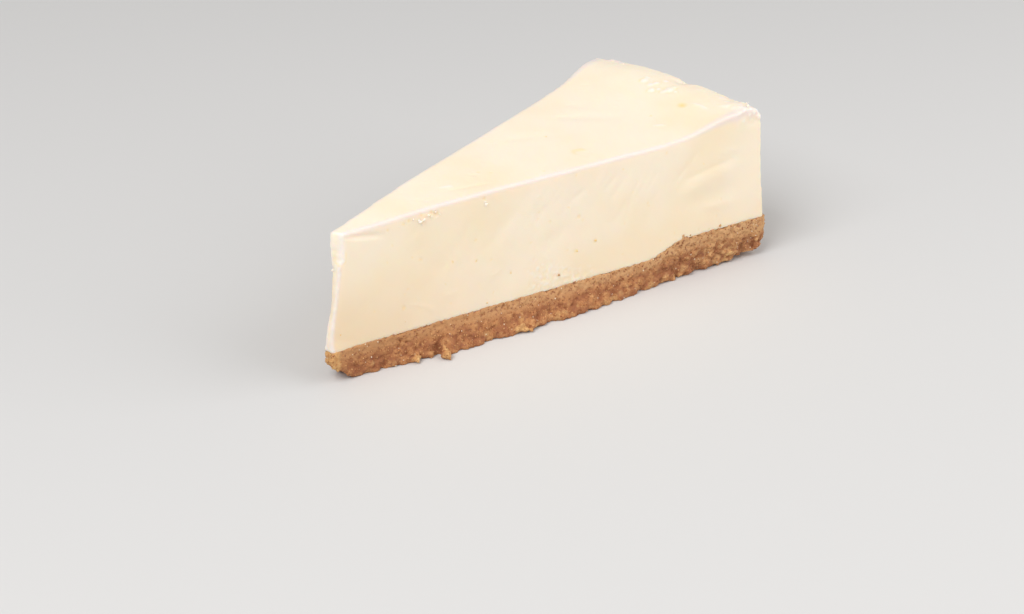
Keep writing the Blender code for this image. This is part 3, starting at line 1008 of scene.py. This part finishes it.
# The pits' yellow tint is painted shade in the hollows, and those among the shreds under the top edge
# are painted shadow of the shreds
# Burst air bubbles in the near face: distance from the axis, height and radius, in mm
NEAR_PITS = (
    (27.3, 28.1, 0.55), (36.7, 25.0, 0.35), (43.9, 23.5, 0.40), (43.7, 29.4, 0.40),
    (54.4, 17.2, 0.35), (22.0, 15.7, 0.60), (36.1, 13.2, 0.30), (66.6, 28.9, 0.40),
    (75.8, 28.0, 0.60), (81.1, 19.5, 0.60), (75.0, 18.1, 0.50), (98.2, 26.5, 0.40),
    (93.1, 31.0, 0.30), (103.9, 40.0, 0.40), (74.6, 40.4, 0.35), (31.9, 39.9, 0.80),
    (30.6, 40.6, 0.60), (22.4, 39.4, 0.45), (24.0, 40.0, 0.50), (46.3, 40.6, 0.60),
    (17.8, 38.9, 0.40), (27.6, 40.6, 0.45),
)
PITS_A_FACE = 26
TOP_WAVE = 0.16 * MM
BLISTER_RISE = 0.65
TORN_FROM = 58.0 * MM
TORN_TO = 83.0 * MM
TORN_RELIEF = 0.15 * MM


def stroke(across, up, mark):
    """Relief of one mark at each point: a ridge or a crease that fades out at both ends."""
    start_across, start_up, end_across, end_up, width, height, bow = (number * MM for number in mark)
    run, rise = end_across - start_across, end_up - start_up
    length = math.hypot(run, rise)
    along = ((across - start_across) * run + (up - start_up) * rise) / length**2
    aside = ((up - start_up) * run - (across - start_across) * rise) / length
    aside = aside - bow * 4.0 * along * (1.0 - along)
    width = MARK_SPREAD * width * (0.55 + 0.6 * np.clip(along, 0.0, 1.0))
    fade = smooth(along / 0.35) * ramp(along, 1.0, -0.3)
    return height * fade * np.exp(-((aside / width) ** 2))


def ripple_marks(chance, count):
    """Marks like those a knife makes as it drags: steep in the middle, flatter to the tip."""
    marks = []
    for _ in range(count):
        r = chance.uniform(16.0, 112.0)
        z = chance.uniform(20.0, 39.0)
        lean = math.radians(34.0 + 24.0 * float(ramp(r, 45.0, 40.0)) + chance.gauss(0.0, 5.0))
        reach = chance.uniform(2.0, 5.0)
        run, rise = reach * math.cos(lean), reach * math.sin(lean)
        depth = chance.choice((-1.0, -1.0, 1.0)) * chance.uniform(0.4, 1.0) * RIPPLE_DEPTH / MM
        marks.append((r + run, z + rise, r - run, z - rise, chance.uniform(0.6, 1.3), depth, 0.0))
    return marks


def raise_mask(mask, chosen, values):
    """Raises a mask to these values where it is lower, at the chosen points."""
    mask[chosen] = np.maximum(mask[chosen], values)


def over_skin(share, chosen, lengths):
    """Moves of these lengths, each straight out of the filling's skin, by the share at its point."""
    return (share[chosen] * lengths)[:, None] * normals[chosen]


def dent(aside, along, radius):
    """1 in the middle of a round hollow and 0 from its edge on."""
    return smooth(1.0 - np.hypot(aside, along) / radius)


filling = spin_section("cut_cheese_filling", filling_outline(), 24)
blunt_nose(filling)
apply_modifier(
    filling, "cut_edges", "BEVEL", width=CUT_EDGE_ROUND, segments=3, limit_method="ANGLE",
    angle_limit=math.radians(50.0),
)
apply_modifier(filling, "skin", "REMESH", mode="VOXEL", voxel_size=CHEESE_SKIN_CELL)
apply_modifier(filling, "polish", "SMOOTH", factor=0.5, iterations=4)

# The edges along the top are worn round, most at the rim's corner, and the nose's a little
worn = filling.vertex_groups.new(name="worn")
points = points_of(filling)
r = reach_of(points)
at_nose = smooth((nose_radius(points[:, 2]) + 2.0 * MM - points[:, 0] + axis_x) / (1.5 * MM))
at_corner = ramp_mm(r, 124.0, 8.0) * ramp_mm(points[:, 2], 36.0, 4.0)
behind_cut = np.minimum(-face_distance(points, -1.0)[0], -face_distance(points, 1.0)[0])
at_edge = smooth(1.0 - np.hypot(top_height(r) - points[:, 2], behind_cut) / (2.6 * MM))
for index, weight in enumerate(np.maximum.reduce([0.3 * at_nose, 0.7 * at_corner, 0.6 * at_edge])):
    if weight > 0.0:
        worn.add([index], weight, "REPLACE")
apply_modifier(filling, "wear", "SMOOTH", factor=0.5, iterations=14, vertex_group="worn")
filling.vertex_groups.clear()

# The underside lies in the base, so its faces are made few
underside = filling.vertex_groups.new(name="underside")
points = points_of(filling)
hidden = np.nonzero(points[:, 2] < join_height(reach_of(points)) - 0.45 * MM)[0]
underside.add(hidden.tolist(), 1.0, "REPLACE")
thin_flat_parts(filling, triangles_in(filling) - int(UNDERSIDE_DROPPED * len(hidden)), "underside")
filling.vertex_groups.clear()

points = points_of(filling)
normals = points_of(filling, "normal")
from_axis = points - np.array([axis_x, 0.0, 0.0])
r = reach_of(points)
z = points[:, 2]
below_top = np.maximum(top_height(r) - z, 0.0)
torn = np.zeros(len(points))
spot_and_shade = np.zeros(len(points))
lift = np.zeros((len(points), 3))

for side, seed in ((-1.0, 3), (1.0, 4)):
    chance = random.Random(seed)
    behind = -face_distance(points, side)[0]
    cut = ramp(normals @ np.array(face_normal(side)), 0.35, 0.5) * (behind < 1.2 * MM)
    chosen = np.nonzero(cut > 0.0)[0]
    across, up = r[chosen], z[chosen]
    marks = ripple_marks(chance, RIPPLES_A_FACE)
    marks += NEAR_MARKS if side < 0.0 else ripple_marks(chance, RIPPLES_A_FACE // 2)
    depth = KNIFE_DEPTH * sum(stroke(across, up, mark) for mark in marks)
    # Broad waves lie aslant, along the way that the knife was drawn
    slanted = np.stack([0.75 * across - 0.5 * up, 0.6 * (across + up) * 0.35, 0.0 * up], axis=1)
    depth = depth + BROAD_WAVE * field(slanted, 7.0 * MM, seed)
    pits = [(chance.uniform(8.0, 130.0), chance.uniform(12.0, 40.0), 0.3) for _ in range(PITS_A_FACE)]
    pits += NEAR_PITS if side < 0.0 else ()
    # Each pit is dented and tinted yellow inside: the tint is painted shade
    for pit_across, pit_up, radius in pits:
        hole = dent(across - pit_across * MM, up - pit_up * MM, 1.5 * radius * MM)
        depth = depth - 0.35 * radius * MM * hole
        raise_mask(spot_and_shade, chosen, 0.45 * hole)
    if side < 0.0:
        # Just above the base the cheese tore instead of parting, and its grain shows
        join = join_height(across)
        head = join + (11.0 - 7.0 * ramp(across, TORN_FROM, TORN_TO - TORN_FROM)) * MM
        patch = ramp(across, TORN_FROM, 4.0 * MM) * ramp(across, TORN_TO, -4.0 * MM)
        edge_noise = field(points[chosen], 2.2 * MM, 9) * 3.0 * MM
        patch = patch * smooth((head - up + edge_noise) / (4.0 * MM))
        grain_noise = field(points[chosen], 0.9 * MM, 11)
        depth = depth + patch * TORN_RELIEF * (grain_noise - 0.25)
        raise_mask(torn, chosen, 0.45 * patch * ramp(grain_noise, 0.1, 0.4))
        # Painted shade: the low grains of the torn patch are tinted yellow
        raise_mask(spot_and_shade, chosen, 0.14 * patch * ramp(-grain_noise, 0.1, 0.3))
    lift[chosen] += outwards(cut[chosen] * depth, side)

on_top = ramp(normals[:, 2], 0.5, 0.4) * (below_top < 2.0 * MM)
chosen = np.nonzero(on_top > 0.0)[0]
x, y = from_axis[chosen, 0], from_axis[chosen, 1]
chance = random.Random(5)
smears = list(TOP_MARKS)
for _ in range(TOP_SMEARS):
    at_x = chance.uniform(25.0, 118.0)
    at_y = chance.uniform(-0.8, 0.8) * at_x * math.tan(HALF_ANGLE)
    lean = math.radians(chance.gauss(-36.0, 9.0))
    reach = chance.uniform(0.5, 1.6)
    run, rise = reach * math.cos(lean), reach * math.sin(lean)
    depth = chance.uniform(-1.0, 1.0) * SMEAR_DEPTH / MM
    width = chance.uniform(0.3, 0.6)
    smears.append((at_x - run, at_y - rise, at_x + run, at_y + rise, width, depth, 0.0))
height = sum(stroke(x, y, mark) for mark in smears)
height = height + TOP_WAVE * field(points[chosen], 16.0 * MM, 21)
crater = np.hypot((x - CRATER[0]) * 1.25, y - CRATER[1])
crater = crater + 0.9 * MM * field(points[chosen], 2.6 * MM, 22)
height = height - 0.10 * MM * ramp_mm(crater, 2.6, -1.2)
# Painted shade: one side of the crater's ring is tinted yellow
shade_ring = smooth((1.2 * MM - np.abs(crater - 2.3 * MM)) / (0.8 * MM))
raise_mask(spot_and_shade, chosen, 0.35 * shade_ring * ramp(y, CRATER[1], 2.0 * MM))
whitened = sum(stroke(x, y, mark) / (mark[5] * MM) for mark in TOP_MARKS if mark[5] > 0.0)
raise_mask(torn, chosen, 0.6 * whitened)
for at_x, at_y in TOP_SPECKS:
    hole = dent(x - at_x * MM, y - at_y * MM, 0.7 * MM)
    height = height - 0.1 * MM * hole
    raise_mask(spot_and_shade, chosen, 0.4 * hole)
stain = dent((x - YELLOW_SPOT[0]) * 1.2, y - YELLOW_SPOT[1], 2.0 * MM)
height = height - 0.10 * MM * stain
raise_mask(spot_and_shade, chosen, 0.9 * stain)
# By the rim the skin blistered in the oven and tore, and its ragged edge is white
frayed = field(points[chosen], 1.3 * MM, 23)
for at_x, at_y, radius, rise in BLISTER_LUMPS:
    away = np.hypot(x - at_x * MM, y - at_y * MM) / (radius * MM) + 0.35 * frayed
    height = height + BLISTER_RISE * rise * MM * smooth(1.25 - away)
    raise_mask(torn, chosen, 0.8 * ramp(away, 1.25, -0.9))
    # Painted shade: the gaps round and between the lumps are tinted yellow
    shade_ring = ramp(away, 1.9, -0.6) * ramp(away, 0.9, 0.4) * (0.5 + frayed)
    raise_mask(spot_and_shade, chosen, 0.36 * shade_ring)
smudge = np.zeros(len(points))
for at_x, at_y, radius, rise in CORNER_LUMPS:
    away = np.hypot(x - at_x * MM, y - at_y * MM) / (radius * MM) + 0.5 * frayed
    height = height + rise * MM * smooth(1.2 - away)
    raise_mask(smudge, chosen, 0.8 * ramp(away, 1.2, -0.7))
lift[chosen, 2] += on_top[chosen] * height
angle = np.degrees(np.arctan2(points[:, 1], from_axis[:, 0]))
lift[:, 2] += ramp_mm(z, 36.0, 5.0) * bead_shift(r, angle)

# Where the slice was pulled from the tin its upper rim is frayed, most at the near corner
rim = ramp_mm(r, 126.0, 6.0) * ramp_mm(below_top, 6.5, -3.0)
chosen = np.nonzero(rim > 0.0)[0]
frayed = field(points[chosen], 1.6 * MM, 31) + 0.5 * field(points[chosen], 0.8 * MM, 32)
near_corner = 0.35 + 0.65 * ramp_mm(-points[chosen, 1], 14.0, 10.0)
lift[chosen] += over_skin(rim, chosen, RIM_FRAY * near_corner * (frayed - 0.3))
raise_mask(torn, chosen, 0.8 * rim[chosen] * near_corner * ramp(frayed, 0.1, 0.3))
# The side that leant on the tin is even but for slow waves
wall = ramp(normals[:, 0], 0.4, 0.4)
chosen = np.nonzero(wall > 0.0)[0]
squat = points[chosen] * np.array([1.0, 1.0, 0.4])
lift[chosen] += over_skin(wall, chosen, WALL_WAVE * field(squat, 7.0 * MM, 41))
# The nose is a little serrated, and its near corner is chipped at the head, where it is white
behind_nose = from_axis[:, 0] - nose_radius(z)
nose = ramp_mm(behind_nose, 1.6, -1.6)
chosen = np.nonzero(nose > 0.0)[0]
ragged = field(points[chosen], 1.1 * MM, 51) + 0.6 * field(points[chosen], 3.0 * MM, 52)
lift[chosen] += over_skin(nose, chosen, NOSE_RAGGED * ragged)
behind_near = np.maximum(-face_distance(points, -1.0)[0], 0.0)
chip = smooth(1.0 - np.hypot(behind_near, behind_nose) / CHIP_REACH)
chip = chip * ramp(z, CHIP_FOOT, 2.0 * MM)
lift[:, 0] += CHIP * chip
torn = np.maximum(torn, 0.75 * chip)
# The chip's rim is tinted yellow below 37 mm
chip_lower_rim = ramp(chip, 0.03, 0.12) * ramp(chip, 0.45, -0.25)
spot_and_shade = np.maximum(spot_and_shade, 0.35 * chip_lower_rim * ramp_mm(z, 37.0, -2.0))
# Painted highlight: the whole nose strip is whitened, as it faces the key light
torn = np.maximum(torn, 0.35 * ramp_mm(behind_nose, 0.8, -0.8))

# Painted highlight: a cool pale band along the cut edges of the top, widening towards the rim, and down
# the nose, where the rounded edges catch the light
behind_cut = np.minimum(behind_near, np.maximum(-face_distance(points, 1.0)[0], 0.0))
from_edge = np.hypot(below_top, behind_cut)
edge_width = (1.0 + 1.4 * ramp_mm(r, 110.0, 22.0)) * MM
edge = 1.0 - ramp(from_edge, 0.4 * edge_width, 1.1 * edge_width)
from_nose = np.hypot(behind_cut, np.maximum(behind_nose, 0.0))
edge = EDGE_HIGHLIGHT * np.maximum(edge, 1.0 - ramp_mm(from_nose, 0.2, 0.9))
set_points(filling, points + lift)
# The curls on the far corner get the same cool pale colour as the painted highlight
set_mask(filling, "edge", np.maximum(edge, smudge))
set_mask(filling, "torn", torn)
set_mask(filling, "spot_and_shade", spot_and_shade)
filling.data.shade_smooth()
filling.data.materials.append(cheese_finish())
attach(filling, "root")
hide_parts("cheese_filling")

# Torn curds
# Shreds of cheese that the knife and the tin pulled loose: white, because air shows through
# them. They cling to the blister on top, under the near edge, at the upper rim and on the nose.

# Distance from the axis and height of shreds on the near face, with their size, in mm
FACE_SHREDS = (
    (25.4, 40.0, 0.45), (26.3, 39.4, 0.55), (27.2, 38.8, 0.60), (28.4, 39.2, 0.50),
    (29.6, 40.2, 0.45), (30.4, 39.4, 0.35), (27.8, 37.9, 0.35), (31.8, 40.3, 0.40),
    (23.0, 39.6, 0.25), (33.0, 39.6, 0.30), (46.6, 39.7, 0.40), (46.8, 38.6, 0.50),
    (47.2, 39.2, 0.35), (21.2, 39.0, 0.22), (35.0, 40.6, 0.22),
)
# Shreds on top, by x and y from the axis, in mm
TOP_SHREDS = (
    (123.6, -3.2, 0.35), (129.6, 18.6, 0.4), (132.6, -2.0, 0.4), (132.2, -13.8, 0.5),
    (130.6, -26.6, 0.6), (129.8, -27.4, 0.5),
)
# Shreds on the nose, by x and y from the axis and height, in mm
NOSE_SHREDS = ((3.8, 1.8, 30.4, 0.45), (3.3, 1.5, 24.8, 0.25))
SHRED_CURLS = 4


def shred_places(chance):
    """Places for small lumps that make up each shred."""
    places = []
    spots = [(on_face(r * MM, z * MM, -1.0), size * MM) for r, z, size in FACE_SHREDS]
    for x, y, size in TOP_SHREDS:
        r = math.hypot(x, y) * MM
        over = max(0.0, r - WALL_TOP + TOP_EDGE_ROUND)
        drop = TOP_EDGE_ROUND - math.sqrt(max(TOP_EDGE_ROUND**2 - over**2, 0.0))
        height = float(top_height(r)) - drop
        height += float(bead_shift(r, math.degrees(math.atan2(y, x))))
        spots.append((Vector((axis_x + x * MM, y * MM, height)), size * MM))
    for x, y, z, size in NOSE_SHREDS:
        spots.append((Vector((axis_x + x * MM, y * MM, z * MM)), size * MM))
    for centre, size in spots:
        for _ in range(SHRED_CURLS):
            shift = Vector([chance.gauss(0.0, 0.4 * size) for _ in range(3)])
            places.append((centre + shift, size * chance.uniform(0.35, 0.7), chance.random()))
    return places


def shred_finish():
    """The same cheese, whiter and more matt where it is torn."""
    finish, tree, shader, coords = new_finish("torn_curds", 0.6, 0.3)
    let_light_in(shader, 0.35, (1.0, 0.7, 0.5), 0.8 * MM)
    curd = mix_colours(tree, noise_value(tree, coords, 0.8 * MM), CREAM, CREAM_TORN_AND_HIGHLIGHT)
    tree.links.new(curd, shader.inputs["Base Color"])
    return finish


curd_shapes = [ragged_crumb(seed, 2, 0.35) for seed in range(60, 65)]
shreds = scatter("torn_curds", curd_shapes, shred_places(random.Random(61)), 62)
apply_modifier(shreds, "fused", "REMESH", mode="VOXEL", voxel_size=0.12 * MM)
apply_modifier(shreds, "softened", "SMOOTH", factor=0.5, iterations=7)
shreds.data.shade_smooth()
shreds.data.materials.append(shred_finish())
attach(shreds, "root")

# Stray crumbs
# Specks of biscuit that the knife carried up on to the cheese as it was drawn out. They run from
# brown to gold, and two took on the cheese's cream. Each is set half into the skin.

# Distance from the axis, height and size of specks on the near face, in mm, and the shade of each:
# 0 is brown, 0.5 golden and 1 cream
FACE_SPECKS = (
    (3.4, 13.2, 0.22, 0.7), (47.1, 10.2, 0.24, 0.6), (69.7, 12.3, 0.26, 0.2),
    (123.4, 13.4, 0.30, 0.3), (113.2, 13.0, 0.26, 0.2), (54.5, 17.0, 0.12, 0.8),
    (43.8, 23.4, 0.12, 0.9), (36.8, 25.0, 0.12, 0.9), (22.4, 11.6, 0.12, 0.8),
    (75.4, 18.0, 0.24, 1.0), (81.4, 19.6, 0.22, 1.0),
)
TOP_SPECKS_OF_CRUMB = ((82.3, 3.7, 0.10), (65.5, -11.8, 0.10), (111.6, -8.1, 0.10))
SPECK_STEPS = ((0.0, CRUMB_DARK), (0.5, CRUMB_GOLD), (1.0, CREAM_SPOT_AND_SHADE))
# In mm from the axis: from here on each speck has its like on the far face
FAR_SPECKS_FROM = 20.0


def speck_places(chance):
    """Places for the specks on the near face and on top, and for some of their like on the far one."""
    places = []
    for r, z, size, shade in FACE_SPECKS:
        places.append((on_face(r * MM, z * MM, -1.0), size * MM, shade))
        if r > FAR_SPECKS_FROM:
            far_place = on_face(r * MM * chance.uniform(0.7, 1.0), z * MM, 1.0)
            places.append((far_place, size * MM, shade))
    for x, y, size in TOP_SPECKS_OF_CRUMB:
        height = float(top_height(math.hypot(x, y) * MM)) - 0.1 * MM
        places.append((Vector((axis_x + x * MM, y * MM, height)), size * MM, 0.8))
    return places


speck_shapes = [ragged_crumb(seed, 2, 0.30) for seed in range(70, 73)]
specks = scatter("stray_crumbs", speck_shapes, speck_places(random.Random(71)), 72)
specks.data.materials.append(grains_finish("stray_crumb", 0.7, 0.25, SPECK_STEPS))
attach(specks, "root")
for shape in curd_shapes + speck_shapes:
    bpy.data.objects.remove(shape)

# The studio
# A plain pale table, one broad soft light from above the tip's side, and a fill from the front,
# seen at the angle and through the lens that the slice was photographed with.

TABLE_SIZE = 6.0
TABLE_COLOUR = (0.66, 0.65, 0.64)
SKY_LIGHT = 0.42
LENS = 77.03
CAMERA_FROM_AXIS = Vector((-311.06, -373.66, 279.75)) * MM
CAMERA_HEADING = math.radians(-45.244)
CAMERA_PITCH = math.radians(28.0)
CAMERA_ROLL = math.radians(0.30)

bpy.ops.mesh.primitive_plane_add(size=TABLE_SIZE, location=(0.0, 0.0, 0.0))
table = bpy.context.object
table.name = "table"
table.data.materials.append(plain_finish("table", 0.7, 0.2, TABLE_COLOUR))


def soft_light(name, place, size, power):
    """A square area light at this place, turned to the slice."""
    light = bpy.data.lights.new(name, "AREA")
    light.shape = "SQUARE"
    light.size = size
    light.energy = power
    lamp = bpy.data.objects.new(name, light)
    bpy.context.scene.collection.objects.link(lamp)
    lamp.location = place
    lamp.rotation_euler = (Vector((0.0, 0.0, 0.02)) - Vector(place)).to_track_quat("-Z", "Y").to_euler()


soft_light("key", (-0.76, -0.14, 0.94), 0.7, 10.2)
soft_light("fill", (0.36, -0.52, 0.42), 0.7, 2.9)
world = bpy.data.worlds.new("studio")
bpy.context.scene.world = world
world.use_nodes = True
sky = world.node_tree.nodes["Background"]
sky.inputs["Color"].default_value = (1.0, 1.0, 1.0, 1.0)
sky.inputs["Strength"].default_value = SKY_LIGHT

camera_data = bpy.data.cameras.new("camera")
camera_data.lens = LENS
camera_data.sensor_width = 36.0
camera_data.clip_start = 0.01
camera = bpy.data.objects.new("camera", camera_data)
bpy.context.scene.collection.objects.link(camera)
camera.location = Vector((axis_x, 0.0, 0.0)) + CAMERA_FROM_AXIS
look = Euler((math.pi / 2.0 - CAMERA_PITCH, 0.0, CAMERA_HEADING)).to_matrix()
camera.rotation_euler = (look @ Matrix.Rotation(CAMERA_ROLL, 3, "Z")).to_euler()
bpy.context.scene.camera = camera
bpy.context.scene.view_settings.view_transform = "Standard"
